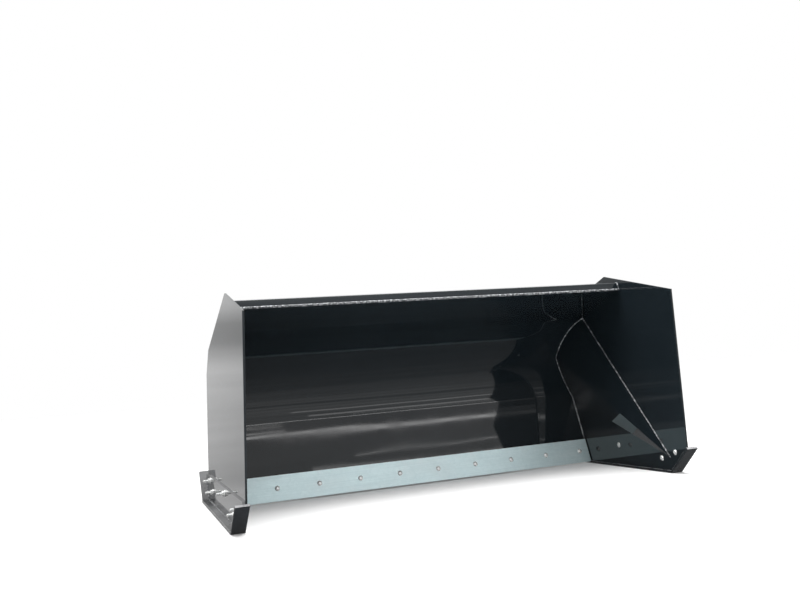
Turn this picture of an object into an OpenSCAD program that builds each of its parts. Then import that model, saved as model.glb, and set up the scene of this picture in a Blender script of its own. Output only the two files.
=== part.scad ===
// Skid steer bucket: a wide pusher bucket for light material and snow.
// +X runs along the width, the open front faces -Y, the quick attach faces +Y and +Z is up.
// The origin is on the ground, at the middle of the bucket's length and width.
// Outlines are drawn in a side view (Y, Z) in which Y = 0 is the foot of the cutting edge.

/* [Bucket] */
// Width over the outer faces of the two side plates
bucket_w = 1930; // [1900:10:2000]
// Thickness of each side plate
side_t = 8; // [6:1:10]

/* [Moldboard] */
// Thickness of the rolled sheet
sheet_t = 6; // [5:1:8]
// Lean of the lower straight part back from the vertical, in degrees
lean = 17.5; // [16:0.5:19]
// Radius of the rolled part, at the working face
roll_r = 315; // [305:5:325]
// Height at which the rolled part starts
roll_start_z = 343; // [335:1:355]
// Fall of the hood from its front lip to the back, in degrees
hood_tilt = 15; // [13:0.5:17]
// Reach of the hood's lip ahead of the cutting edge
lip_reach = 472; // [450:1:490]

/* [Top bar] */
// Outside size of the square tube along the hood's lip
bar_size = 38; // [35:1:45]
// Wall of that tube
bar_wall = 4; // [3:1:5]

/* [Cutting edge] */
// Height of the cutting edge, measured along its face
edge_h = 114; // [110:1:120]
// Thickness of the cutting edge
edge_t = 12; // [10:1:14]
// Height of its front lower corner above the ground
edge_lift = 10; // [8:1:14]
// Number of bolts along the cutting edge
edge_bolts_n = 10; // [8:1:10]
// Distance from one of these bolts to the next
edge_bolt_gap = 200; // [190:1:200]

/* [Side plates] */
// Reach of the front top corner ahead of the cutting edge
front_reach = 868; // [840:1:890]
// Height of the front top corner
front_top_z = 801; // [780:1:820]
// Height of the front lower corner, above which the front edge starts
front_low_z = 112; // [105:1:116]
// Height of the peak above the top bar
peak_z = 927; // [915:1:940]
// Reach of the peak ahead of the cutting edge
peak_reach = 350; // [340:1:370]
// Reach of the rear edge behind the cutting edge
rear_reach = 462; // [440:1:475]
// Height of the rear shoulder, where the top edge turns down
shoulder_z = 724; // [700:1:740]

/* [Skid shoes] */
// Width of the runner
runner_w = 56; // [48:1:60]
// Thickness of the runner and its turned up tips
runner_t = 12; // [10:1:14]
// How far the runner stands out beyond the side plate
runner_out = 40; // [36:1:44]
// Rise of the tips, in degrees from the ground
tip_angle = 38; // [35:1:40]
// Thickness of the upright web of each shoe
web_t = 8; // [6:1:10]
// Height of the web's top edge
web_top_z = 122; // [120:1:126]

/* [Corner gussets] */
// Thickness of the folded gusset plates
gusset_t = 5; // [4:1:6]
// Distance of the fold's upper end from the side plate
gusset_inset = 74; // [60:1:90]

/* [Quick attach] */
// Width of the plate between its end guards
attach_w = 1150; // [1140:1:1160]
// Height of the plate
attach_h = 460; // [455:1:465]
// Thickness of the plate, lip, flange and guards
attach_t = 10; // [8:1:12]
// Height of the plate's lower edge
attach_low_z = 70; // [66:1:80]
// Distance from the foot of the cutting edge to the plate's rear face
attach_back_y = 250; // [240:1:260]
// Distance between the centres of the two wedge slots
slot_gap = 1020; // [1000:1:1040]

/* [Fasteners] */
// Diameter of every bolt
bolt_d = 12; // [10:1:12]
// Diameter of the clearance holes
hole_d = 13.5; // [13:0.5:14]

/* [Hidden] */
$fn = 48;

paint = "#1b2126";
worn_paint = "#343a3f";
zinc = "#b9d0d6";
bolt_zinc = "#d8dcdc";

// Half widths
outer_x = bucket_w / 2;
inner_x = outer_x - side_t;
roll_steps = 60;
far = 2000;

// The lower straight part of the working face rises along up_dir; out_dir points behind it
up_dir = [sin(lean), cos(lean)];
out_dir = [cos(lean), -sin(lean)];
edge_foot = [0, edge_lift];
face_foot = edge_foot + edge_t * out_dir;
function on_face(s, back = 0) = face_foot + s * up_dir + back * out_dir;
sheet_low_s = 18;
roll_start_s = (roll_start_z - face_foot[1]) / cos(lean);
roll_start = on_face(roll_start_s);
roll_centre = roll_start - roll_r * out_dir;
// A point of the rolled part, by its turn from straight down
roll_first = 90 - lean;
roll_last = 180 - hood_tilt;
function on_roll(turn, back = 0) = roll_centre + (roll_r + back) * [sin(turn), -cos(turn)];
roll_end = on_roll(roll_last);
hood_dir = [-cos(hood_tilt), sin(hood_tilt)];
hood_out = [sin(hood_tilt), cos(hood_tilt)];
hood_l = (roll_end[0] + lip_reach) / cos(hood_tilt);
lip = roll_end + hood_l * hood_dir;
// The whole working face in side view, from foot to lip, moved backwards by back
function face_line(back) = concat(
    [on_face(sheet_low_s, back)],
    [for (i = [0 : roll_steps]) on_roll(roll_first + i * (roll_last - roll_first) / roll_steps, back)],
    [lip + back * hood_out]
);
function reversed(points) = [for (i = [len(points) - 1 : -1 : 0]) points[i]];

// Cutting edge stack, behind the working face
edge_gap_end = 5;
backing_t = 12;
backing_low_s = 14;
backing_high_s = 112;
edge_bolt_s = 56;
cross_tube = 60;
cross_tube_wall = 5;
cross_tube_s = 150;

// Side plates: the rear shoulder, and the top of the rear edge
shoulder_y = 356;
rear_edge_top_z = 606;

// Shoes: the flat of the runner, and how high its tips rise
flat_front = -680;
flat_rear = 372;
front_tip_rise = 108;
rear_tip_rise = 124;
tip_x = tan(tip_angle / 2) * runner_t;
function front_tip(rise) = [flat_front - rise / tan(tip_angle), rise];
function rear_tip(rise) = [flat_rear + rise / tan(tip_angle), rise];
// A point on the runner's upper face, at a height above its flat
function front_ramp(z) = [flat_front + tip_x - (z - runner_t) / tan(tip_angle), z];
function rear_ramp(z) = [flat_rear - tip_x + (z - runner_t) / tan(tip_angle), z];
ramp_z_at_rear_edge = runner_t + (rear_reach - flat_rear + tip_x) * tan(tip_angle);
shoe_bolts_at = [[-716, 91], [-612, 60], [-273, 102], [184, 63], [281, 106]];

// Gusset corners: two on the side plate's junction, one out on the moldboard, one low in front
gusset_top_turn = 164;
gusset_fold_turn = 110.5;
gusset_low_s = (330 - face_foot[1]) / cos(lean);
gusset_front = [-677, 68];

// Ribs behind the moldboard
inner_rib_x = 190;
outer_rib_x = 540;
rib_t = 8;
rib_top_turn = 145;
rib_nose = 14;

// Quick attach
attach_front_y = attach_back_y - attach_t;
attach_top_z = attach_low_z + attach_h;
lip_drop = 48;
flange_depth = 70;
slot_w = 30;
slot_l = 60;

// Fasteners
washer_d = 28;
washer_t = 2.5;
nut_flats = 19;
nut_h = 10.5;
nut_clear = 0.1;
edge_head_d = 24;
shoe_head_d = 24;
head_h = 6;
edge_thread_out = 8;
shoe_thread_out = 23;

// The origin sits midway between the foremost and the rearmost point
rearmost = rear_tip(rear_tip_rise)[0];
shift_y = (front_reach - rearmost) / 2;

// Draws a side view outline as a slab from x0 to x1
module slab(x0, x1) {
    translate([x0, shift_y, 0])
        rotate([90, 0, 90])
            linear_extrude(x1 - x0)
                children();
}

// Copies a part on the right-hand side to the left-hand side
module left_copy() {
    mirror([1, 0, 0])
        children();
}

// The space ahead of the working face, from x0 to x1, grown backwards by back
module space_ahead(x0, x1, back) {
    slab(x0, x1)
        polygon(concat(face_line(back), [[-far, lip[1]], [-far, face_foot[1]]]));
}

// A square with rounded corners, its own corner at the origin
module round_square(size, r) {
    translate([r, 0])
        square([size - 2 * r, size]);
    translate([0, r])
        square([size, size - 2 * r]);
    for (x = [r, size - r], y = [r, size - r])
        translate([x, y])
            circle(r);
}

module tube_section(size, wall) {
    corner = 1.5 * wall;
    difference() {
        round_square(size, corner);
        translate([wall, wall])
            round_square(size - 2 * wall, corner - wall);
    }
}

// Puts a part at every bolt of the cutting edge, with its +Z pointing to the rear of the face
module at_edge_bolts(back) {
    p = on_face(edge_bolt_s, back);
    for (i = [0 : edge_bolts_n - 1])
        translate([(i - (edge_bolts_n - 1) / 2) * edge_bolt_gap, p[0] + shift_y, p[1]])
            rotate([-90 - lean, 0, 0])
                children();
}

// Puts a part at every bolt of the right shoe, at x, with its +Z pointing outwards
module at_shoe_bolts(x) {
    for (p = shoe_bolts_at)
        translate([x, p[0] + shift_y, p[1]])
            rotate([0, 90, 0])
                children();
}

// A round-headed bolt: the head's seat is at z = 0 and the shank runs up +Z
module bolt(head_d, length) {
    head_r = (pow(head_d / 2, 2) + pow(head_h, 2)) / (2 * head_h);
    cylinder(d = bolt_d, h = length);
    intersection() {
        translate([0, 0, head_r - head_h])
            sphere(head_r, $fn = 64);
        translate([0, 0, -head_h])
            cylinder(d = head_d, h = head_h);
    }
}

module washer() {
    difference() {
        cylinder(d = washer_d, h = washer_t);
        translate([0, 0, -1])
            cylinder(d = bolt_d + 1, h = washer_t + 2);
    }
}

// A hexagon nut with its corners taken off by two cones
module nut() {
    corner_d = nut_flats / cos(30);
    difference() {
        intersection() {
            cylinder(d = corner_d, h = nut_h, $fn = 6);
            union() {
                cylinder(d1 = nut_flats, d2 = nut_flats + nut_h, h = nut_h / 2);
                translate([0, 0, nut_h / 2])
                    cylinder(d1 = nut_flats + nut_h, d2 = nut_flats, h = nut_h / 2);
            }
        }
        translate([0, 0, -1])
            cylinder(d = bolt_d + 2 * nut_clear, h = nut_h + 2);
    }
}

module moldboard() {
    color(paint)
        difference() {
            slab(-inner_x, inner_x)
                polygon(concat(face_line(0), reversed(face_line(sheet_t))));
            at_edge_bolts(-1)
                cylinder(d = hole_d, h = sheet_t + 2);
        }
}

// A square tube laid along the lip, on the outer face of the hood
module top_bar() {
    p = lip + sheet_t * hood_out;
    color(paint)
        translate([0, p[0], p[1]])
            slab(-inner_x, inner_x)
                rotate(-hood_tilt)
                    tube_section(bar_size, bar_wall);
}

module right_side_plate() {
    color(paint)
        slab(inner_x, outer_x)
            difference() {
                polygon([
                    front_ramp(runner_t), front_ramp(front_low_z), [-front_reach, front_top_z],
                    [-peak_reach, peak_z], [shoulder_y, shoulder_z],
                    [rear_reach, rear_edge_top_z], [rear_reach, ramp_z_at_rear_edge],
                    rear_ramp(runner_t)
                ]);
                for (p = shoe_bolts_at)
                    translate(p)
                        circle(d = hole_d);
            }
}

module left_side_plate() {
    left_copy()
        right_side_plate();
}

// The half space behind the plane through three corners, set back by depth
module half_space(a, b, c, depth) {
    u = (b - a) / norm(b - a);
    n = cross(b - a, c - a) / norm(cross(b - a, c - a));
    v = cross(n, u);
    multmatrix([
        [u[0], v[0], n[0], a[0]],
        [u[1], v[1], n[1], a[1]],
        [u[2], v[2], n[2], a[2]],
        [0, 0, 0, 1]
    ])
        translate([-far / 2, -far / 2, -far - depth])
            cube(far);
}

// The wedge that the folded plate closes off in the corner, set back by depth
module corner_wedge(depth, back) {
    top = on_roll(gusset_top_turn);
    fold = on_roll(gusset_fold_turn);
    low = on_face(gusset_low_s);
    top_p = [inner_x, top[0] + shift_y, top[1]];
    fold_p = [inner_x - gusset_inset, fold[0] + shift_y, fold[1]];
    low_p = [inner_x, low[0] + shift_y, low[1]];
    front_p = [inner_x, gusset_front[0] + shift_y, gusset_front[1]];
    intersection() {
        half_space(front_p, top_p, fold_p, depth);
        half_space(front_p, fold_p, low_p, depth);
        space_ahead(inner_x - 2 * gusset_inset, inner_x + back, back);
    }
}

module right_corner_gusset() {
    color(paint)
        difference() {
            corner_wedge(0, 0);
            corner_wedge(gusset_t, 1);
        }
}

module left_corner_gusset() {
    left_copy()
        right_corner_gusset();
}

// The outline of the base edge, starting at front behind the working face
module base_edge_outline(front) {
    polygon([
        on_face(backing_low_s, front), on_face(backing_high_s, front),
        on_face(backing_high_s, sheet_t + backing_t), on_face(backing_low_s, sheet_t + backing_t)
    ]);
}

// A flat bar welded behind the foot of the moldboard, which the cutting edge bolts to
module base_edge() {
    color(paint)
        difference() {
            slab(-inner_x, inner_x)
                base_edge_outline(sheet_t);
            at_edge_bolts(sheet_t - 1)
                cylinder(d = hole_d, h = backing_t + 2);
        }
}

module cutting_edge() {
    color(zinc)
        difference() {
            slab(-inner_x + edge_gap_end, inner_x - edge_gap_end)
                polygon([
                    edge_foot, edge_foot + edge_h * up_dir, on_face(edge_h), on_face(0)
                ]);
            at_edge_bolts(-edge_t - 1)
                cylinder(d = hole_d, h = edge_t + 2);
        }
}

module edge_bolts() {
    grip = edge_t + sheet_t + backing_t + washer_t + nut_h;
    color(bolt_zinc)
        at_edge_bolts(-edge_t)
            bolt(edge_head_d, grip + edge_thread_out);
}

module edge_washers() {
    color(bolt_zinc)
        at_edge_bolts(sheet_t + backing_t)
            washer();
}

module edge_nuts() {
    color(bolt_zinc)
        at_edge_bolts(sheet_t + backing_t + washer_t)
            nut();
}

// The outline of the cross tube, lying against the back of the moldboard
module cross_tube_outline() {
    polygon([
        on_face(cross_tube_s, sheet_t), on_face(cross_tube_s + cross_tube, sheet_t),
        on_face(cross_tube_s + cross_tube, sheet_t + cross_tube),
        on_face(cross_tube_s, sheet_t + cross_tube)
    ]);
}

module lower_cross_tube() {
    p = on_face(cross_tube_s, sheet_t);
    color(paint)
        translate([0, p[0], p[1]])
            slab(-inner_x, inner_x)
                rotate(-lean)
                    tube_section(cross_tube, cross_tube_wall);
}

// An upright plate between the back of the moldboard and the quick attach plate
module rib(x) {
    x0 = x - rib_t / 2;
    x1 = x + rib_t / 2;
    color(paint)
        difference() {
            slab(x0, x1)
                polygon([
                    [0, attach_low_z], [attach_front_y, attach_low_z],
                    [attach_front_y, attach_top_z], on_roll(rib_top_turn, sheet_t + rib_nose),
                    roll_centre
                ]);
            space_ahead(x0 - 1, x1 + 1, sheet_t);
            slab(x0 - 1, x1 + 1)
                cross_tube_outline();
            slab(x0 - 1, x1 + 1)
                base_edge_outline(0);
        }
}

module outer_left_rib() {
    rib(-outer_rib_x);
}

module inner_left_rib() {
    rib(-inner_rib_x);
}

module inner_right_rib() {
    rib(inner_rib_x);
}

module outer_right_rib() {
    rib(outer_rib_x);
}

module quick_attach_plate() {
    color(paint)
        slab(-attach_w / 2, attach_w / 2)
            translate([attach_front_y, attach_low_z])
                square([attach_t, attach_h]);
}

// The hook: a strip that leans back and down from the plate's top edge at 45 degrees
module quick_attach_top_lip() {
    reach = attach_t * sqrt(2);
    color(paint)
        slab(-attach_w / 2, attach_w / 2)
            polygon([
                [attach_front_y, attach_top_z], [attach_front_y, attach_top_z + reach],
                [attach_back_y, attach_top_z + reach],
                [attach_back_y + lip_drop + reach / 2, attach_top_z - lip_drop + reach / 2],
                [attach_back_y + lip_drop, attach_top_z - lip_drop],
                [attach_back_y, attach_top_z]
            ]);
}

// The flange that the loader's two wedges pass down through
module quick_attach_bottom_flange() {
    color(paint)
        difference() {
            slab(-attach_w / 2, attach_w / 2)
                translate([attach_back_y, attach_low_z])
                    square([flange_depth, attach_t]);
            for (x = [-slot_gap / 2, slot_gap / 2])
                translate([x, attach_back_y + flange_depth / 2 + shift_y, attach_low_z - 1])
                    linear_extrude(attach_t + 2) {
                        square([slot_l - slot_w, slot_w], center = true);
                        for (side = [-1, 1])
                            translate([side * (slot_l - slot_w) / 2, 0])
                                circle(d = slot_w);
                    }
        }
}

module quick_attach_right_guard() {
    waist = 26;
    foot = 36;
    lip_tip = lip_drop + attach_t / sqrt(2);
    color(paint)
        slab(attach_w / 2, attach_w / 2 + attach_t)
            polygon([
                [attach_front_y, attach_low_z], [attach_back_y + flange_depth, attach_low_z],
                [attach_back_y + flange_depth, attach_low_z + foot],
                [attach_back_y + waist, attach_low_z + foot + flange_depth],
                [attach_back_y + waist, attach_top_z - 2 * lip_drop],
                [attach_back_y + lip_tip, attach_top_z - lip_tip],
                [attach_back_y + lip_tip, attach_top_z - lip_drop + attach_t / sqrt(2)],
                [attach_back_y, attach_top_z + attach_t * sqrt(2)],
                [attach_front_y, attach_top_z + attach_t * sqrt(2)]
            ]);
}

module quick_attach_left_guard() {
    left_copy()
        quick_attach_right_guard();
}

// The bent strip that the bucket rides on, under the side plate and out beyond it
module right_shoe_runner() {
    front_end = front_tip(front_tip_rise);
    rear_end = rear_tip(rear_tip_rise);
    color(worn_paint)
        slab(outer_x + runner_out - runner_w, outer_x + runner_out)
            polygon([
                [flat_front, 0], front_end, front_end + runner_t * [sin(tip_angle), cos(tip_angle)],
                front_ramp(runner_t), rear_ramp(runner_t),
                rear_end + runner_t * [-sin(tip_angle), cos(tip_angle)], rear_end, [flat_rear, 0]
            ]);
}

module left_shoe_runner() {
    left_copy()
        right_shoe_runner();
}

// The upright plate of the shoe, bolted to the outside of the side plate
module right_shoe_web() {
    end_z = 106;
    end_cut = 16;
    color(paint)
        slab(outer_x, outer_x + web_t)
            difference() {
                polygon([
                    front_ramp(runner_t), front_ramp(end_z),
                    [front_ramp(end_z)[0] + end_cut, web_top_z],
                    [rear_ramp(end_z)[0] - end_cut, web_top_z], rear_ramp(end_z),
                    rear_ramp(runner_t)
                ]);
                for (p = shoe_bolts_at)
                    translate(p)
                        circle(d = hole_d);
            }
}

module left_shoe_web() {
    left_copy()
        right_shoe_web();
}

module right_shoe_bolts() {
    grip = side_t + web_t + washer_t + nut_h;
    color(bolt_zinc)
        at_shoe_bolts(inner_x)
            bolt(shoe_head_d, grip + shoe_thread_out);
}

module left_shoe_bolts() {
    left_copy()
        right_shoe_bolts();
}

module right_shoe_washers() {
    color(bolt_zinc)
        at_shoe_bolts(outer_x + web_t)
            washer();
}

module left_shoe_washers() {
    left_copy()
        right_shoe_washers();
}

module right_shoe_nuts() {
    color(bolt_zinc)
        at_shoe_bolts(outer_x + web_t + washer_t)
            nut();
}

module left_shoe_nuts() {
    left_copy()
        right_shoe_nuts();
}

moldboard();
top_bar();
left_side_plate();
right_side_plate();
left_corner_gusset();
right_corner_gusset();
base_edge();
cutting_edge();
edge_bolts();
edge_washers();
edge_nuts();
lower_cross_tube();
outer_left_rib();
inner_left_rib();
inner_right_rib();
outer_right_rib();
quick_attach_plate();
quick_attach_top_lip();
quick_attach_bottom_flange();
quick_attach_left_guard();
quick_attach_right_guard();
left_shoe_runner();
right_shoe_runner();
left_shoe_web();
right_shoe_web();
left_shoe_bolts();
right_shoe_bolts();
left_shoe_washers();
right_shoe_washers();
left_shoe_nuts();
right_shoe_nuts();
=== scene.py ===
"""The looks of a skid steer bucket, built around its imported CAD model. Lengths are in metres."""

import math

import bmesh
import bpy
from mathutils import Matrix, Vector, noise


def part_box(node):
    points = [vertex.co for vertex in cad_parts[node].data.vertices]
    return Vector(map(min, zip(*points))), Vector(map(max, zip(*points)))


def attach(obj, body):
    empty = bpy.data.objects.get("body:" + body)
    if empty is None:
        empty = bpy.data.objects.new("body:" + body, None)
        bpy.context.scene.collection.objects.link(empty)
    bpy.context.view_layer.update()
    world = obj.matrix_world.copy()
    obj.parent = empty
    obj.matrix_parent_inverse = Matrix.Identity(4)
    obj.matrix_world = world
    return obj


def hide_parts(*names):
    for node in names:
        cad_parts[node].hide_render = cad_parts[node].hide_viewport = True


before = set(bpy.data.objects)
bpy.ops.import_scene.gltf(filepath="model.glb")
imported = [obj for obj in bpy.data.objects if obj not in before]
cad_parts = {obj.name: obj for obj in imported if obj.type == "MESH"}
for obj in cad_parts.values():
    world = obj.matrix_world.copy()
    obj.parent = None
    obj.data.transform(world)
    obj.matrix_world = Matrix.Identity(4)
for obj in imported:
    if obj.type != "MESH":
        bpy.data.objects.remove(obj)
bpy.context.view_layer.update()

# ---------------------------------------------------------------- driving dimensions

INNER_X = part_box("moldboard")[1].x  # half the width between the side plates
SHEET = 0.006  # thickness of the moldboard
LEAN = math.radians(17.5)  # lean of the moldboard's lower, straight part
ROLL_R = 0.315  # radius of the rolled part, at the working face
ROLL_START_Z = 0.343  # height at which the roll starts
HOOD_TILT = math.radians(15)  # fall of the hood from its lip to the back
LIP_REACH = 0.472  # reach of the lip ahead of the cutting edge
FRONT_REACH = 0.868  # reach of the side plates ahead of the cutting edge
EDGE_LIFT = 0.010  # height of the cutting edge's front lower corner
EDGE_T = 0.012  # thickness of the cutting edge
EDGE_H = 0.114  # height of the cutting edge along its face
SHEET_LOW = 0.018  # where the moldboard starts, up its face
BACKING_T = 0.012  # thickness of the base edge behind the moldboard
BACKING_HIGH = 0.112  # top of the base edge, up the face
BAR = 0.038  # outside size of the top bar
CROSS_TUBE = 0.060  # outside size of the lower cross tube
CROSS_TUBE_LOW = 0.150  # where the cross tube starts, up the face
CROSS_TUBE_HIGH = CROSS_TUBE_LOW + CROSS_TUBE

# Fasteners, all M12
BOLT_R = 0.006
THREAD_PITCH = 0.00175
WASHER_R = 0.014
WASHER_T = 0.0025
NUT_FLATS = 0.019
NUT_H = 0.0105
HEAD_R = 0.012
HEAD_H = 0.006
EDGE_BOLTS = 10
EDGE_BOLT_GAP = 0.200
EDGE_BOLT_UP = 0.056  # height of these bolts up the face
EDGE_BOLT_STANDS_OUT = 0.008
# The shoes' bolts, in the side view
SHOE_BOLTS = [(-0.716, 0.091), (-0.612, 0.060), (-0.273, 0.102), (0.184, 0.063), (0.281, 0.106)]

# Gussets
FOLD_INSET = 0.074  # distance of the fold's upper end from the side plate
TOP_TURN = math.radians(164)
FOLD_TURN = math.radians(110.5)
GUSSET_LOW_Z = 0.330
GUSSET_FRONT = (-0.677, 0.068)  # its front corner in the side view

# Ribs and quick attach
RIB_XS = {"outer_left": -0.540, "inner_left": -0.190, "inner_right": 0.190, "outer_right": 0.540}
RIB_T = 0.008
RIB_BEAD_TURN = math.radians(140)  # turn of the roll at which the ribs' beads end
RIB_BEAD_TOP = 0.53  # height at which their beads down the quick attach plate start
FLANGE_T = 0.010  # thickness of the quick attach's bottom flange

# Shoes, in the side view
RUNNER_T = 0.012
RUNNER_FLAT = (-0.680, 0.372)  # front and rear ends of the runner's flat underside
RUNNER_TIP = math.radians(38)  # rise of its turned up tips
TIP_BEAD_RISE = 0.085  # how far the bead climbs each tip

# ---------------------------------------------------------------- side view of the bucket

# The foot of the cutting edge is the zero of the side view's first coordinate
FOOT_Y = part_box("left_side_plate")[0].y + FRONT_REACH
UP = Vector((math.sin(LEAN), math.cos(LEAN)))
OUT = Vector((math.cos(LEAN), -math.sin(LEAN)))
FACE_FOOT = Vector((0, EDGE_LIFT)) + EDGE_T * OUT
ROLL_START = (ROLL_START_Z - FACE_FOOT.y) / UP.y
ROLL_CENTRE = FACE_FOOT + ROLL_START * UP - ROLL_R * OUT
FIRST_TURN = math.pi / 2 - LEAN
LAST_TURN = math.pi - HOOD_TILT
HOOD = Vector((-math.cos(HOOD_TILT), math.sin(HOOD_TILT)))
HOOD_OUT = Vector((math.sin(HOOD_TILT), math.cos(HOOD_TILT)))


def on_face(up, back=0.0):
    """A point of the straight part: up from its foot, and back behind the working face."""
    return FACE_FOOT + up * UP + back * OUT


def roll_out(turn):
    """The direction out of the bucket's back, at a turn of the roll."""
    return Vector((math.sin(turn), -math.cos(turn)))


def on_roll(turn, back=0.0):
    """A point of the rolled part: at a turn of it, and back behind the working face."""
    return ROLL_CENTRE + (ROLL_R + back) * roll_out(turn)


HOOD_L = (on_roll(LAST_TURN).x + LIP_REACH) / math.cos(HOOD_TILT)
LIP = on_roll(LAST_TURN) + HOOD_L * HOOD
ROLL_L = ROLL_R * (LAST_TURN - FIRST_TURN)
FACE_L = ROLL_START + ROLL_L + HOOD_L


def along_face(s):
    """The point and the outward direction of the working face, s along it from its foot."""
    if s < ROLL_START:
        return on_face(s), OUT
    if s < ROLL_START + ROLL_L:
        turn = FIRST_TURN + (s - ROLL_START) / ROLL_R
        return on_roll(turn), roll_out(turn)
    return on_roll(LAST_TURN) + (s - ROLL_START - ROLL_L) * HOOD, HOOD_OUT


def face_point(s, back=0.0):
    """A point s along the working face from its foot, and back behind it."""
    point, out = along_face(s)
    return point + back * out


def place(x, side_view_point):
    """A point of the model from its x and its place in the side view."""
    return Vector((x, side_view_point[0] + FOOT_Y, side_view_point[1]))


# ---------------------------------------------------------------- camera

CAMERA_AT = (-1.4126, -3.8029, 0.5111)
CAMERA_YAW = math.radians(-19.896)
CAMERA_PITCH = math.radians(14.713)
CAMERA_ROLL = math.radians(-4.727)
CAMERA_LENS = 36.55  # millimetres, on a sensor 36 mm wide
CAMERA_SHIFT = -0.1705


def make_camera():
    """Stands left of the bucket's middle at knee height, and looks at its open front."""
    camera = bpy.data.objects.new("camera", bpy.data.cameras.new("camera"))
    camera.data.lens = CAMERA_LENS
    camera.data.sensor_width = 36
    camera.data.shift_y = CAMERA_SHIFT
    turned = Matrix.Rotation(CAMERA_YAW, 4, "Z") @ (
        Matrix.Rotation(math.pi / 2 + CAMERA_PITCH, 4, "X")
    )
    camera.matrix_world = (
        Matrix.Translation(CAMERA_AT) @ turned @ Matrix.Rotation(CAMERA_ROLL, 4, "Z")
    )
    bpy.context.scene.collection.objects.link(camera)
    bpy.context.scene.camera = camera


make_camera()

# ---------------------------------------------------------------- materials


def add_node(material, kind, inputs=None, **settings):
    """A new shader node. An input is a number, a colour, or another node's output."""
    tree = material.node_tree
    made = tree.nodes.new(kind)
    for name, value in settings.items():
        setattr(made, name, value)
    for name, value in (inputs or {}).items():
        if isinstance(value, bpy.types.NodeSocket):
            tree.links.new(value, made.inputs[name])
        else:
            made.inputs[name].default_value = value
    return made


def new_material(name, **sockets):
    """A material whose shader has these values on its sockets."""
    material = bpy.data.materials.new(name)
    material.use_nodes = True
    shader = material.node_tree.nodes["Principled BSDF"]
    for socket, value in sockets.items():
        shader.inputs[socket.replace("_", " ")].default_value = value
    return material


def drive(material, socket, output):
    """Links a node's output to a socket of the material's shader."""
    shader = material.node_tree.nodes["Principled BSDF"]
    material.node_tree.links.new(output, shader.inputs[socket])


def noise_of(material, scale, detail=2.0, stretch=(1, 1, 1), roughness=0.5, over="Object"):
    """Noise over the surface, finer along an axis by its stretch. Its values lie round 0.5."""
    place_node = add_node(material, "ShaderNodeTexCoord")
    scaled = add_node(
        material, "ShaderNodeMapping", {"Vector": place_node.outputs[over], "Scale": stretch}
    )
    made = add_node(
        material,
        "ShaderNodeTexNoise",
        {
            "Vector": scaled.outputs["Vector"],
            "Scale": scale,
            "Detail": detail,
            "Roughness": roughness,
        },
    )
    return made.outputs["Fac"]


def spread(material, value, low, high, to_low=0.0, to_high=1.0):
    """A value carried from one range to another, and held inside it."""
    made = add_node(
        material,
        "ShaderNodeMapRange",
        {
            "Value": value,
            "From Min": low,
            "From Max": high,
            "To Min": to_low,
            "To Max": to_high,
        },
    )
    return made.outputs["Result"]


def times(material, a, b):
    made = add_node(material, "ShaderNodeMath", {0: a, 1: b}, operation="MULTIPLY")
    return made.outputs[0]


def plus(material, a, b):
    made = add_node(material, "ShaderNodeMath", {0: a, 1: b}, operation="ADD")
    return made.outputs[0]


def mixed(material, factor, a, b):
    """Colour a turning into colour b with the factor."""
    made = add_node(
        material, "ShaderNodeMix", {"Factor": factor, 6: a, 7: b}, data_type="RGBA"
    )
    return made.outputs[2]


def edges_of(material, radius):
    """1 on the edges of the steel, 0 away from them."""
    rounded = add_node(material, "ShaderNodeBevel", {"Radius": radius}, samples=4)
    surface = add_node(material, "ShaderNodeNewGeometry")
    alike = add_node(
        material,
        "ShaderNodeVectorMath",
        {0: rounded.outputs["Normal"], 1: surface.outputs["Normal"]},
        operation="DOT_PRODUCT",
    )
    return spread(material, alike.outputs["Value"], 0.995, 0.90)


def facing_up(material):
    """1 on level faces that look up, 0 on upright ones."""
    surface = add_node(material, "ShaderNodeNewGeometry")
    parts = add_node(material, "ShaderNodeSeparateXYZ", {0: surface.outputs["Normal"]})
    return spread(material, parts.outputs["Z"], 0.3, 0.95)


def sheared_ends(material):
    """1 on the ends of the runners' tips, the only faces of a shoe that lean this much."""
    surface = add_node(material, "ShaderNodeNewGeometry")
    parts = add_node(material, "ShaderNodeSeparateXYZ", {0: surface.outputs["Normal"]})
    above = spread(material, parts.outputs["Z"], 0.50, 0.56)
    return times(material, above, spread(material, parts.outputs["Z"], 0.72, 0.66))


def bumped(material, *layers):
    """Adds bumps to the shader's normal. A layer is its height, its strength and its depth."""
    normal = None
    for height, strength, depth in layers:
        inputs = {"Height": height, "Strength": strength, "Distance": depth}
        if normal is not None:
            inputs["Normal"] = normal
        normal = add_node(material, "ShaderNodeBump", inputs).outputs["Normal"]
    drive(material, "Normal", normal)


THIN_PAINT = (0.085, 0.09, 0.095, 1)
SCUFFED = (0.30, 0.30, 0.32, 1)
LIGHT_DUST = (0.055, 0.056, 0.055, 1)
GROUND_DUST = (0.45, 0.45, 0.46, 1)
BARE_STEEL = (0.42, 0.42, 0.43, 1)


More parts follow.
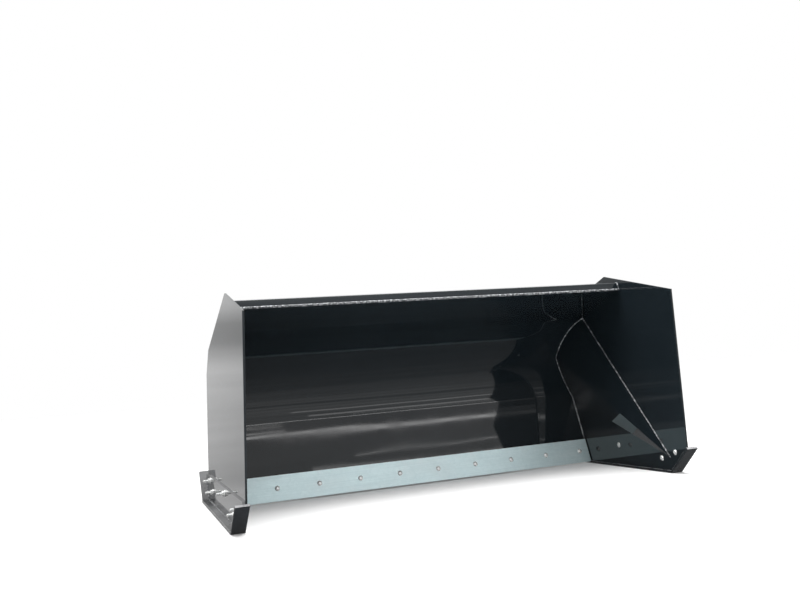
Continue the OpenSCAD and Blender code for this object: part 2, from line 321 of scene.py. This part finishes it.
def paint_material(
    name,
    dark,
    light,
    gloss,
    satin,
    wear=0.35,
    worn_to=THIN_PAINT,
    dust_to=LIGHT_DUST,
    bare_ends=False,
):
    """Sprayed paint: orange peel, faint smears, dust on what faces up and thin paint at edges.

    Its roughness lies between gloss and satin. The edges are worn, by the share wear, to the
    colour worn_to, and the dust has the colour dust_to.
    """
    material = new_material(name, Metallic=0.0, IOR=1.5)
    clouds = noise_of(material, 2.3, 4.0)
    smears = noise_of(material, 7.0, 6.0, (1.0, 1.0, 0.45), 0.6)
    specks = noise_of(material, 420.0, 2.0)
    edge = times(material, edges_of(material, 0.0022), spread(material, smears, 0.40, 0.62))
    worn = times(material, edge, wear)
    dust = times(material, facing_up(material), spread(material, clouds, 0.42, 0.7, 0.05, 0.35))
    tone = mixed(material, spread(material, clouds, 0.35, 0.65), dark, light)
    dusty = mixed(material, dust, tone, dust_to)
    colour = mixed(material, worn, dusty, worn_to)
    if bare_ends:
        bare = times(material, sheared_ends(material), spread(material, smears, 0.3, 0.5))
        colour = mixed(material, bare, colour, BARE_STEEL)
    drive(material, "Base Color", colour)
    base = spread(material, smears, 0.32, 0.72, gloss, satin)
    rough = plus(material, base, times(material, dust, 0.5))
    drive(material, "Roughness", plus(material, rough, times(material, worn, 0.25)))
    bumped(material, (specks, 0.10, 0.00004))
    return material


def weld_material():
    """A weld bead under thin paint, with painted highlights: light grey specks in its colour stand
    in for the glints of its crests and spatter.
    """
    material = new_material("weld_with_painted_glints", Metallic=0.0, IOR=1.5)
    grain = noise_of(material, 260.0, 4.0)
    specks = noise_of(material, 105.0, 3.0)
    # Painted highlights: the light grey specks mixed into the colour stand in for glints off the
    # bead's crests.
    colour = mixed(
        material,
        spread(material, specks, 0.46, 0.62),
        (0.035, 0.038, 0.042, 1),
        (0.330, 0.340, 0.350, 1),
    )
    drive(material, "Base Color", colour)
    drive(material, "Roughness", spread(material, grain, 0.3, 0.7, 0.16, 0.36))
    bumped(material, (grain, 0.35, 0.0008))
    return material


def zinc_edge_material():
    """Zinc plate on flat bar: brushed along its length, with a faint spangle and dull patches."""
    material = new_material("zinc_edge", Metallic=0.55)
    place_node = add_node(material, "ShaderNodeTexCoord")
    cells = add_node(
        material,
        "ShaderNodeTexVoronoi",
        {"Vector": place_node.outputs["Object"], "Scale": 75.0, "Randomness": 1.0},
    )
    spangle = add_node(material, "ShaderNodeSeparateColor", {0: cells.outputs["Color"]})
    brushing = noise_of(material, 1.0, 5.0, (5, 650, 650), 0.65)
    patches = noise_of(material, 5.5, 5.0, (0.7, 1, 1), 0.6)
    clean = mixed(
        material,
        spread(material, spangle.outputs["Red"], 0.0, 1.0),
        (0.66, 0.815, 0.840, 1),
        (0.74, 0.890, 0.915, 1),
    )
    streaked = mixed(
        material, spread(material, brushing, 0.3, 0.72), clean, (0.58, 0.73, 0.76, 1)
    )
    dull = spread(material, patches, 0.5, 0.72, 0.0, 0.5)
    edge = edges_of(material, 0.0016)
    colour = mixed(material, dull, streaked, (0.80, 0.90, 0.92, 1))
    drive(material, "Base Color", mixed(material, edge, colour, (0.90, 0.95, 0.96, 1)))
    rough = spread(material, brushing, 0.25, 0.75, 0.36, 0.52)
    drive(material, "Roughness", plus(material, rough, times(material, dull, 0.3)))
    bumped(material, (brushing, 0.10, 0.0003), (spangle.outputs["Red"], 0.04, 0.0003))
    return material


def bolt_material():
    """Bright zinc on fasteners, a little clouded."""
    material = new_material("zinc_bolts", Metallic=0.68)
    clouds = noise_of(material, 90.0, 4.0)
    lines = noise_of(material, 700.0, 2.0)
    colour = mixed(
        material,
        spread(material, clouds, 0.35, 0.7),
        (0.97, 0.97, 0.95, 1),
        (0.80, 0.82, 0.83, 1),
    )
    drive(material, "Base Color", colour)
    drive(material, "Roughness", spread(material, clouds, 0.3, 0.7, 0.22, 0.36))
    bumped(material, (lines, 0.06, 0.0002))
    return material


BLUE_BLACK = {"dark": (0.0066, 0.0098, 0.0122, 1), "light": (0.0086, 0.0122, 0.0148, 1)}
SATIN_BLACK = {"dark": (0.008, 0.010, 0.012, 1), "light": (0.014, 0.016, 0.018, 1)}
NEAR_THE_GROUND = {"wear": 0.9, "worn_to": SCUFFED, "dust_to": GROUND_DUST}
PAINT = paint_material("black_paint", **BLUE_BLACK, gloss=0.015, satin=0.05)
SHEET_PAINT = paint_material("rolled_sheet_paint", **BLUE_BLACK, gloss=0.025, satin=0.07)
WEB_PAINT = paint_material(
    "shoe_web_paint", **BLUE_BLACK, gloss=0.03, satin=0.08, **NEAR_THE_GROUND
)
RUNNER_PAINT = paint_material(
    "runner_paint", **SATIN_BLACK, gloss=0.16, satin=0.34, **NEAR_THE_GROUND, bare_ends=True
)
WELD = weld_material()
ZINC_EDGE = zinc_edge_material()
ZINC_BOLTS = bolt_material()

# ---------------------------------------------------------------- making pieces


def make_piece(name, bm, slot, material, *replaced):
    """Turns mesh data into a smooth piece that rides on the bucket."""
    bmesh.ops.recalc_face_normals(bm, faces=bm.faces)
    mesh = bpy.data.meshes.new(name)
    bm.to_mesh(mesh)
    bm.free()
    mesh.shade_smooth()
    mesh.materials.append(material)
    piece = bpy.data.objects.new(name, mesh)
    bpy.context.scene.collection.objects.link(piece)
    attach(piece, "root")
    if replaced:
        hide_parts(*replaced)
    return piece


def soften(piece, width):
    """Rounds the piece's edges and keeps its flat faces flat."""
    bevel = piece.modifiers.new("softened_edges", "BEVEL")
    bevel.width = width
    bevel.segments = 2
    bevel.limit_method = "ANGLE"
    bevel.angle_limit = math.radians(28)
    bevel.harden_normals = True


def skin(node, slot, material, width=0.0012):
    """A CAD node's own shape with softened edges."""
    bm = bmesh.new()
    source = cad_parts[node].data
    corners = [bm.verts.new(v.co) for v in source.vertices]
    for face in source.polygons:
        bm.faces.new([corners[i] for i in face.vertices])
    bmesh.ops.remove_doubles(bm, verts=bm.verts, dist=1e-5)
    bmesh.ops.dissolve_limit(
        bm, angle_limit=math.radians(0.4), verts=bm.verts, edges=bm.edges, delimit={"NORMAL"}
    )
    soften(make_piece(node + "_finish", bm, slot, material, node), width)


def add_tube(bm, rings):
    """Joins rings of points into a closed skin."""
    made = [[bm.verts.new(p) for p in ring] for ring in rings]
    n = len(made[0])
    for a, b in zip(made, made[1:]):
        for i in range(n):
            bm.faces.new([a[i], a[(i + 1) % n], b[(i + 1) % n], b[i]])
    bm.faces.new(made[0])
    bm.faces.new(made[-1])


def add_hoop(bm, rings):
    """Joins a closed circle of rings of points into a skin with a hole through it."""
    made = [[bm.verts.new(p) for p in ring] for ring in rings]
    n = len(made[0])
    for a, b in zip(made, made[1:] + made[:1]):
        for i in range(n):
            bm.faces.new([a[i], a[(i + 1) % n], b[(i + 1) % n], b[i]])


def circle_of(matrix, spots):
    """Points evenly turned about a matrix's axis. Each spot is its (radius, height)."""
    made = []
    for i, (radius, height) in enumerate(spots):
        a = 2 * math.pi * i / len(spots)
        made.append(matrix @ Vector((radius * math.cos(a), radius * math.sin(a), height)))
    return made


def section_at(matrix, turn, section):
    """A section of (radius, height) points, carried round a matrix's axis."""
    carried = matrix @ Matrix.Rotation(turn, 4, "Z")
    return [carried @ Vector((radius, 0, height)) for radius, height in section]


# ---------------------------------------------------------------- welds

BEAD_SIDES = 9


def resampled(points, step):
    """The same line with evenly spaced points."""
    lengths = [0.0]
    for a, b in zip(points, points[1:]):
        lengths.append(lengths[-1] + (b - a).length)
    count = max(2, round(lengths[-1] / step))
    made, k = [], 0
    for i in range(count + 1):
        at = lengths[-1] * i / count
        while k < len(points) - 2 and lengths[k + 1] < at:
            k += 1
        part = (at - lengths[k]) / max(lengths[k + 1] - lengths[k], 1e-9)
        made.append(points[k].lerp(points[k + 1], min(max(part, 0), 1)))
    return made


def add_bead(bm, points, radius, out, pitch=0.0056, rough=0.10):
    """Adds a weld bead: overlapping ripples along a line, whose crests lag behind their flanks.

    Its crest points to out, which needs no unit length.
    """
    line = resampled(points, pitch / 2)
    rings = []
    for i, p in enumerate(line):
        along = (line[min(i + 1, len(line) - 1)] - line[max(i - 1, 0)]).normalized()
        side = along.cross(out).normalized()
        high = side.cross(along).normalized()
        swell = 1 + 0.09 * (1 if i % 2 else -1) + rough * noise.noise(p * 55)
        if i in (0, len(line) - 1):
            swell *= 0.55
        ring = []
        for j in range(BEAD_SIDES):
            a = 2 * math.pi * j / BEAD_SIDES
            lag = 0.28 * pitch * math.cos(a)
            ring.append(
                p + radius * swell * (math.cos(a) * high + math.sin(a) * side) - lag * along
            )
        rings.append(ring)
    add_tube(bm, rings)


def welds(name, *beads):
    """One piece for a group of beads. A bead is its line, its radius and its outward direction."""
    bm = bmesh.new()
    for points, radius, out in beads:
        add_bead(bm, points, radius, out)
    make_piece(name, bm, "black_paint", WELD)


def across(side_view_point, low=-INNER_X, high=INNER_X):
    """The two ends of a line across the bucket."""
    return [place(low, side_view_point), place(high, side_view_point)]


# ---------------------------------------------------------------- moldboard

RIPPLE_X = 0.62  # length of the sheet's ripples across the bucket
RIPPLE_S = 0.075  # their length up the sheet, where the rolls left faint flats
RIPPLE_H = 0.00022
DIMPLE = 0.13  # length of the small dimples between them
DIMPLE_H = 0.00003
SAG_X = 0.35  # length of the broad waves that welding left, across the bucket
SAG_S = 0.30  # their length up the sheet
SAG_H = 0.0006
EDGE_FADE = 0.05  # the ripples fade out over this distance to the side plates and the lip
FOOT_FADE = 0.1  # and over this distance to the sheet's foot
MIDDLE_SHARE = 0.62  # share of the ripples left at the bucket's middle, all of them at its left
LEAST_SHARE = 0.06  # share left at its right


def ripple(x, s):
    """How far rolling and welding have pushed the sheet out of its true shape."""
    wave = noise.noise(Vector((x / RIPPLE_X, s / RIPPLE_S, 0.7)))
    sag = noise.noise(Vector((x / SAG_X, s / SAG_S, 4.1)))
    dimple = noise.noise(Vector((x / DIMPLE, s / DIMPLE, 9.3)))
    from_edges = min(
        1,
        (INNER_X - abs(x)) / EDGE_FADE,
        (s - SHEET_LOW) / FOOT_FADE,
        (FACE_L - s) / EDGE_FADE,
    )
    share = min(1, max(LEAST_SHARE, MIDDLE_SHARE - x / INNER_X))
    fade = max(from_edges * share, 0)
    return fade * (RIPPLE_H * wave + SAG_H * sag + DIMPLE_H * dimple)


def make_moldboard():
    """The rolled sheet, with the shallow ripples that its gloss shows."""
    columns, rows = 170, 150
    bm = bmesh.new()
    sheets = []
    for back in (0.0, SHEET):
        grid = []
        for j in range(rows + 1):
            s = SHEET_LOW + (FACE_L - SHEET_LOW) * j / rows
            row = []
            for i in range(columns + 1):
                x = INNER_X * (2 * i / columns - 1)
                row.append(bm.verts.new(place(x, face_point(s, back + ripple(x, s)))))
            grid.append(row)
        sheets.append(grid)
    front, rear = sheets
    for j in range(rows):
        for i in range(columns):
            for grid in sheets:
                bm.faces.new([grid[j][i], grid[j][i + 1], grid[j + 1][i + 1], grid[j + 1][i]])
    for j in range(rows):
        for i in (0, columns):
            bm.faces.new([front[j][i], front[j + 1][i], rear[j + 1][i], rear[j][i]])
    for i in range(columns):
        for j in (0, rows):
            bm.faces.new([front[j][i], front[j][i + 1], rear[j][i + 1], rear[j][i]])
    soften(make_piece("moldboard_sheet", bm, "black_paint", SHEET_PAINT, "moldboard"), 0.0008)


make_moldboard()

# ---------------------------------------------------------------- plates, bars and shoes

for node in ("left_side_plate", "right_side_plate"):
    skin(node, "black_paint", PAINT, 0.0016)
for node in (
    "top_bar",
    "base_edge",
    "lower_cross_tube",
    "outer_left_rib",
    "inner_left_rib",
    "inner_right_rib",
    "outer_right_rib",
    "quick_attach_plate",
    "quick_attach_top_lip",
    "quick_attach_bottom_flange",
    "quick_attach_left_guard",
    "quick_attach_right_guard",
    "left_corner_gusset",
    "right_corner_gusset",
):
    skin(node, "black_paint", PAINT)
for node in ("left_shoe_web", "right_shoe_web"):
    skin(node, "black_paint", WEB_PAINT, 0.0020)
for node in ("left_shoe_runner", "right_shoe_runner"):
    skin(node, "runner_paint", RUNNER_PAINT, 0.0018)
skin("cutting_edge", "zinc_edge", ZINC_EDGE, 0.0010)

# ---------------------------------------------------------------- fasteners

HEAD_SIDES = 40
SHANK_SIDES = 18
RING_SIDES = 36
THREAD_DEPTH = 0.00095
THREAD_LEAD = 0.0012  # length of the cone at the thread's end
THREAD_IN_NUT = 0.002  # how far inside the nut the thread starts


def axis_matrix(at, direction, turn=0.0):
    """Carries local +Z onto a direction at a point, turned about it."""
    return Matrix.Translation(at) @ direction.to_track_quat("Z", "Y").to_matrix().to_4x4() @ (
        Matrix.Rotation(turn, 4, "Z")
    )


def add_bolt(bm, matrix, grip, reach):
    """A round-headed bolt: its head's seat at 0, plain up to grip, and threaded from there."""
    dome_r = (HEAD_R**2 + HEAD_H**2) / (2 * HEAD_H)
    profile = [(0.0003, 0.0), (HEAD_R * 0.985, 0.0), (HEAD_R, -0.0004)]
    first = math.asin(HEAD_R / dome_r) * 0.97
    for i in range(9):
        a = first * (1 - i / 8.2)
        profile.append((dome_r * math.sin(a), dome_r - HEAD_H - dome_r * math.cos(a)))
    add_tube(bm, [circle_of(matrix, [spot] * HEAD_SIDES) for spot in profile])

    threaded = reach - grip - THREAD_LEAD
    steps = round(threaded / (THREAD_PITCH / 4))
    rings = [[(BOLT_R, 0.0)] * SHANK_SIDES, [(BOLT_R, grip)] * SHANK_SIDES]
    for k in range(1, steps):
        z = grip + threaded * k / steps
        ring = []
        for i in range(SHANK_SIDES):
            phase = (z / THREAD_PITCH - i / SHANK_SIDES) % 1
            ring.append((BOLT_R - THREAD_DEPTH * abs(2 * phase - 1), z))
        rings.append(ring)
    rings.append([(BOLT_R - 0.0011, reach - THREAD_LEAD)] * SHANK_SIDES)
    rings.append([(BOLT_R - 0.0022, reach)] * SHANK_SIDES)
    add_tube(bm, [circle_of(matrix, ring) for ring in rings])


def add_washer(bm, matrix):
    """A flat washer with a rounded rim."""
    inner, outer, rim = BOLT_R + 0.0005, WASHER_R, 0.0004
    section = [
        (inner, 0.0),
        (outer - rim, 0.0),
        (outer, rim),
        (outer, WASHER_T - rim),
        (outer - rim, WASHER_T),
        (inner + rim, WASHER_T),
        (inner, WASHER_T - rim),
    ]
    turns = [2 * math.pi * i / RING_SIDES for i in range(RING_SIDES)]
    add_hoop(bm, [section_at(matrix, turn, section) for turn in turns])


def add_nut(bm, matrix):
    """A hexagon nut: its corners are cut by a cone at both ends, its bore has a countersink."""
    half = NUT_FLATS / 2
    bore = BOLT_R + 0.0001
    mouth = bore + 0.0010
    rings = []
    for i in range(RING_SIDES):
        turn = 2 * math.pi * i / RING_SIDES
        off_flat = (turn + math.pi / 6) % (math.pi / 3) - math.pi / 6
        flat = half / math.cos(off_flat)
        cut = (flat - half) * math.tan(math.radians(30)) + 0.0001
        cone = min(flat, half + 0.0001)
        section = [
            (bore, 0.0012),
            (mouth, 0.0),
            (cone, 0.0),
            (flat, cut),
            (flat, NUT_H - cut),
            (cone, NUT_H),
            (mouth, NUT_H),
            (bore, NUT_H - 0.0012),
        ]
        rings.append(section_at(matrix, turn, section))
    add_hoop(bm, rings)


def make_set(name, add, matrices, node):
    """One piece for a row of the same fastener."""
    bm = bmesh.new()
    for matrix in matrices:
        add(bm, matrix)
    piece = make_piece(name, bm, "zinc_bolts", ZINC_BOLTS, node)
    piece.data.set_sharp_from_angle(angle=math.radians(35))


def make_edge_fasteners():
    """Ten bolts through the cutting edge, the moldboard and the base edge."""
    rearwards = Vector((0, OUT.x, OUT.y))

    def matrices(back):
        made = []
        for i in range(EDGE_BOLTS):
            x = (i - (EDGE_BOLTS - 1) / 2) * EDGE_BOLT_GAP
            made.append(axis_matrix(place(x, on_face(EDGE_BOLT_UP, back)), rearwards, i * 1.7))
        return made

    stack = EDGE_T + SHEET + BACKING_T
    nut_top = stack + WASHER_T + NUT_H

    def bolt(bm, matrix):
        add_bolt(bm, matrix, nut_top - THREAD_IN_NUT, nut_top + EDGE_BOLT_STANDS_OUT)

    make_set("edge_bolt_set", bolt, matrices(-EDGE_T), "edge_bolts")
    make_set("edge_washer_set", add_washer, matrices(stack - EDGE_T), "edge_washers")
    make_set("edge_nut_set", add_nut, matrices(stack - EDGE_T + WASHER_T), "edge_nuts")


def make_shoe_fasteners(side, sign):
    """Five bolts through a side plate and its shoe's web, with long threads standing out."""
    outwards = Vector((sign, 0, 0))
    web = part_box(f"{side}_shoe_web")
    web_x = web[1].x if sign > 0 else web[0].x

    def matrices(x):
        return [
            axis_matrix(place(x, point), outwards, k * 2.1) for k, point in enumerate(SHOE_BOLTS)
        ]

    nut_top = abs(web_x) - INNER_X + WASHER_T + NUT_H
    tip = max(abs(corner.x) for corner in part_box(f"{side}_shoe_bolts")) - INNER_X

    def bolt(bm, matrix):
        add_bolt(bm, matrix, nut_top - THREAD_IN_NUT, tip)

    make_set(f"{side}_shoe_bolt_set", bolt, matrices(sign * INNER_X), f"{side}_shoe_bolts")
    make_set(f"{side}_shoe_washer_set", add_washer, matrices(web_x), f"{side}_shoe_washers")
    make_set(
        f"{side}_shoe_nut_set",
        add_nut,
        matrices(web_x + sign * WASHER_T),
        f"{side}_shoe_nuts",
    )


make_edge_fasteners()
make_shoe_fasteners("left", -1)
make_shoe_fasteners("right", 1)

# ---------------------------------------------------------------- the beads


def on_plane(a, b, c, side_view_point, sign):
    """Where the line across the bucket at a side view point meets the plane of three points."""
    normal = (b - a).cross(c - a)
    flat = place(0, side_view_point)
    x = a.x - (normal.y * (flat.y - a.y) + normal.z * (flat.z - a.z)) / normal.x
    return Vector((sign * x, flat.y, flat.z))


def make_gusset_welds(side, sign):
    """Beads round a folded gusset: up the moldboard, and along the side plate."""
    top = place(INNER_X, on_roll(TOP_TURN))
    fold = place(INNER_X - FOLD_INSET, on_roll(FOLD_TURN))
    s_low = (GUSSET_LOW_Z - FACE_FOOT.y) / UP.y
    low = place(INNER_X, on_face(s_low))
    front = place(INNER_X, GUSSET_FRONT)
    upper, lower = [], []
    for i in range(25):
        turn = TOP_TURN + (FOLD_TURN - TOP_TURN) * i / 24
        upper.append(on_plane(front, top, fold, on_roll(turn), sign))
    s_fold = ROLL_START + ROLL_R * (FOLD_TURN - FIRST_TURN)
    for i in range(19):
        s = s_fold + (s_low - s_fold) * i / 18
        lower.append(on_plane(front, fold, low, face_point(s), sign))
    mirror = Matrix.Diagonal((sign, 1, 1))
    inwards = Vector((-sign, -0.6, 0.2))
    forwards = Vector((-sign * 0.5, -1, 0))
    welds(
        f"{side}_gusset_welds",
        (upper, 0.0036, forwards),
        (lower, 0.0036, forwards),
        ([mirror @ top, mirror @ front], 0.0034, inwards),
    )


def make_side_welds(side, sign):
    """Beads between the moldboard and a side plate, in front of it and behind it."""
    x = sign * INNER_X
    s_low = (GUSSET_LOW_Z - FACE_FOOT.y) / UP.y

    def run(start, end, back):
        count = max(2, round((end - start) / 0.02))
        return [
            place(x, face_point(start + (end - start) * i / count, back)) for i in range(count + 1)
        ]

    inwards = Vector((-sign, -0.8, 0.3))
    behind = Vector((-sign, 0.8, 0.3))
    welds(
        f"{side}_side_welds",
        (run(EDGE_H + 0.002, s_low, 0), 0.0052, inwards),
        (run(BACKING_HIGH + 0.004, CROSS_TUBE_LOW - 0.006, SHEET), 0.0040, behind),
        (run(CROSS_TUBE_HIGH + 0.006, FACE_L - BAR - 0.006, SHEET), 0.0040, behind),
    )


def tube_loop(origin, right, up, size, x):
    """A rounded loop round the end of a square tube, in the side view."""
    made = []
    for i in range(41):
        a = 2 * math.pi * i / 40
        c, s = math.cos(a), math.sin(a)
        reach = (size / 2) / (abs(c) ** 6 + abs(s) ** 6) ** (1 / 6)
        centre = origin + size / 2 * (right + up)
        made.append(place(x, centre + reach * (c * right + s * up)))
    return made


def make_bar_welds():
    """Beads along the top bar, under its front edge and behind it, and round its ends."""
    corner = LIP + SHEET * HOOD_OUT
    back = -HOOD
    front_bead = corner + 0.0016 * back + 0.0010 * HOOD_OUT
    rear_bead = corner + BAR * back
    beads = [
        (across(front_bead), 0.0055, Vector((0, -1, 0.4))),
        (across(rear_bead), 0.0040, Vector((0, 1, 0.6))),
    ]
    for sign in (-1, 1):
        loop = tube_loop(corner, back, HOOD_OUT, BAR, sign * INNER_X)
        beads.append((loop, 0.0046, Vector((-sign, 0, 0))))
    welds("top_bar_welds", *beads)


def spans_between_ribs(gap):
    """Stretches across the bucket's back, broken by the ribs."""
    edges = [-INNER_X] + sorted(RIB_XS.values()) + [INNER_X]
    return [(a + gap, b - gap) for a, b in zip(edges, edges[1:])]


def make_back_welds():
    """Beads of the base edge and the cross tube behind the moldboard."""
    up_and_back = Vector((0, 0.8, 0.6))
    down_and_back = Vector((0, 0.8, -0.6))
    beads = []
    for low, high in spans_between_ribs(RIB_T / 2):
        for up, out in (
            (BACKING_HIGH, up_and_back),
            (CROSS_TUBE_LOW, down_and_back),
            (CROSS_TUBE_HIGH, up_and_back),
        ):
            beads.append((across(on_face(up, SHEET), low, high), 0.0042, out))
    for sign in (-1, 1):
        loop = tube_loop(on_face(CROSS_TUBE_LOW, SHEET), OUT, UP, CROSS_TUBE, sign * INNER_X)
        beads.append((loop, 0.0040, Vector((-sign, 0, 0))))
    welds("back_welds", *beads)


def make_rib_welds(name, x):
    """Beads on both sides of a rib, up the moldboard and down the quick attach plate."""
    rib_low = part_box(f"{name}_rib")[0].z
    plate_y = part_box("quick_attach_plate")[0].y
    start = CROSS_TUBE_HIGH
    end = ROLL_START + ROLL_R * (RIB_BEAD_TURN - FIRST_TURN)
    beads = []
    for sign in (-1, 1):
        edge_x = x + sign * RIB_T / 2
        run = [
            place(edge_x, face_point(start + (end - start) * i / 24, SHEET)) for i in range(25)
        ]
        beads.append((run, 0.0035, Vector((sign, 0.4, -0.4))))
        post = [
            Vector((edge_x, plate_y, rib_low + 0.002)),
            Vector((edge_x, plate_y, RIB_BEAD_TOP)),
        ]
        beads.append((post, 0.0035, Vector((sign, -1, 0))))
    welds(f"{name}_rib_welds", *beads)


def make_attach_welds():
    """Beads of the quick attach's lip, flange and end guards."""
    low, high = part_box("quick_attach_plate")
    rear, top = high.y, high.z
    flange_top = low.z + FLANGE_T
    beads = []
    for z, radius, out in (
        (top, 0.0040, Vector((0, 0.4, -1))),
        (flange_top, 0.0038, Vector((0, 1, 1))),
    ):
        beads.append(([Vector((low.x, rear, z)), Vector((high.x, rear, z))], radius, out))
    for x, sign in ((low.x, 1), (high.x, -1)):
        post = [Vector((x, rear, flange_top + 0.002)), Vector((x, rear, top - 0.004))]
        beads.append((post, 0.0038, Vector((sign, 1, 0))))
    welds("quick_attach_welds", *beads)


def make_shoe_welds(side, sign):
    """A bead where a shoe's upright web meets its runner, along the flat and up both tips."""
    low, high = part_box(f"{side}_shoe_web")
    x = high.x if sign > 0 else low.x
    bend = math.tan(RUNNER_TIP / 2) * RUNNER_T
    front, rear = RUNNER_FLAT[0] + bend, RUNNER_FLAT[1] - bend
    climb = TIP_BEAD_RISE / math.tan(RUNNER_TIP)
    line = [
        place(x, (front - climb, RUNNER_T + TIP_BEAD_RISE)),
        place(x, (front, RUNNER_T)),
        place(x, (rear, RUNNER_T)),
        place(x, (rear + climb, RUNNER_T + TIP_BEAD_RISE)),
    ]
    welds(f"{side}_shoe_weld", (line, 0.0035, Vector((sign, 0, 1))))


make_bar_welds()
make_back_welds()
make_attach_welds()
for rib_name, rib_x in RIB_XS.items():
    make_rib_welds(rib_name, rib_x)
for side_name, side_sign in (("left", -1), ("right", 1)):
    make_gusset_welds(side_name, side_sign)
    make_side_welds(side_name, side_sign)
    make_shoe_welds(side_name, side_sign)

# ---------------------------------------------------------------- floor and light

FLOOR_REACH = 40.0

# The studio's brightness round the bucket: the direction's height, from -1 to 1, and the level
STUDIO_LEVELS = (
    (-1.0, 0.16),
    (-0.90, 0.17),
    (-0.70, 0.24),
    (-0.42, 0.40),
    (-0.16, 0.62),
    (-0.08, 0.74),
    (-0.045, 0.84),
    (0.022, 0.84),
    (0.045, 0.52),
    (0.06, 0.42),
    (0.08, 0.50),
    (0.105, 0.92),
    (0.30, 0.88),
    (0.55, 0.84),
    (0.70, 1.25),
    (1.0, 1.25),
)

# Light tubes ahead of the bucket, which draw the streaks on the moldboard:
# left end, right end, height, width and radiance
TUBES_Y = -3.1
TUBES = (
    (-3.8, 2.6, 2.37, 0.030, 5.5),
    (-0.9, 0.12, 2.43, 0.020, 3.5),
    (-0.9, 0.10, 2.51, 0.014, 3.0),
    (0.75, 2.5, 2.12, 0.007, 5.0),
    (0.30, 2.6, 1.90, 0.16, 1.7),
    (0.10, 2.6, 1.40, 0.10, 1.5),
    (-3.8, -1.3, 1.95, 0.20, 2.2),
)


def make_floor():
    """A pale floor, which gloss doesn't see: the world's lower half stands in for it there."""
    mesh = bpy.data.meshes.new("floor")
    low, high = -FLOOR_REACH, FLOOR_REACH
    mesh.from_pydata(
        [(low, low, 0), (high, low, 0), (high, high, 0), (low, high, 0)], [], [(0, 1, 2, 3)]
    )
    floor = bpy.data.objects.new("floor", mesh)
    mesh.materials.append(
        new_material(
            "pale_floor",
            Base_Color=(0.92, 0.92, 0.92, 1),
            Roughness=0.9,
            Emission_Color=(1, 1, 1, 1),
            Emission_Strength=0.10,
        )
    )
    bpy.context.scene.collection.objects.link(floor)
    floor.visible_glossy = False


def make_world():
    """A white studio, seen by its light and in gloss; the camera itself sees plain white.

    It is bright all round and darker below, where gloss would see the floor, most of all low on
    the left. Level streaks make it a little uneven.
    """
    world = bpy.data.worlds.new("studio")
    bpy.context.scene.world = world
    world.use_nodes = True
    direction = add_node(world, "ShaderNodeTexCoord")
    parts = add_node(world, "ShaderNodeSeparateXYZ", {0: direction.outputs["Generated"]})
    height = spread(world, parts.outputs["Z"], -1.0, 1.0)
    ramp = add_node(world, "ShaderNodeValToRGB", {"Fac": height})
    while len(ramp.color_ramp.elements) < len(STUDIO_LEVELS):
        ramp.color_ramp.elements.new(0.5)
    for element, (z, level) in zip(ramp.color_ramp.elements, STUDIO_LEVELS):
        element.position = (z + 1) / 2
        element.color = (level, level, level, 1)
    streaks = noise_of(world, 1.3, 3.0, (1, 1, 13), 0.55, "Generated")
    shade = spread(world, streaks, 0.3, 0.7, 0.72, 1.2)
    low_left = times(
        world,
        spread(world, parts.outputs["X"], -0.22, -0.42),
        spread(world, parts.outputs["Z"], 0.0, -0.05),
    )
    shade = times(world, shade, spread(world, low_left, 0.0, 1.0, 1.0, 0.12))
    walls = add_node(
        world, "ShaderNodeVectorMath", {0: ramp.outputs["Color"], "Scale": shade}, operation="SCALE"
    )
    straight = add_node(world, "ShaderNodeLightPath").outputs["Is Camera Ray"]
    seen = mixed(world, straight, walls.outputs["Vector"], (1, 1, 1, 1))
    background = world.node_tree.nodes["Background"]
    world.node_tree.links.new(seen, background.inputs["Color"])


def soft_box(name, at, target, size, radiance):
    """A rectangular light that faces its target, with the same brightness at any size."""
    light = bpy.data.lights.new(name, "AREA")
    light.shape = "RECTANGLE"
    light.size, light.size_y = size
    light.energy = radiance * math.pi * size[0] * size[1]
    box = bpy.data.objects.new(name, light)
    box.location = at
    box.rotation_euler = (Vector(target) - Vector(at)).to_track_quat("-Z", "Y").to_euler()
    bpy.context.scene.collection.objects.link(box)


make_floor()
make_world()
soft_box("overhead", (0.0, -0.3, 3.0), (0, -0.2, 0.4), (4.4, 2.2), 6.5)
for number, (left, right, height, width, radiance) in enumerate(TUBES):
    middle = (left + right) / 2
    soft_box(
        f"tube_{number}",
        (middle, TUBES_Y, height),
        (middle, 0.2, 0.3),
        (right - left, width),
        radiance,
    )
bpy.context.scene.view_settings.view_transform = "Standard"
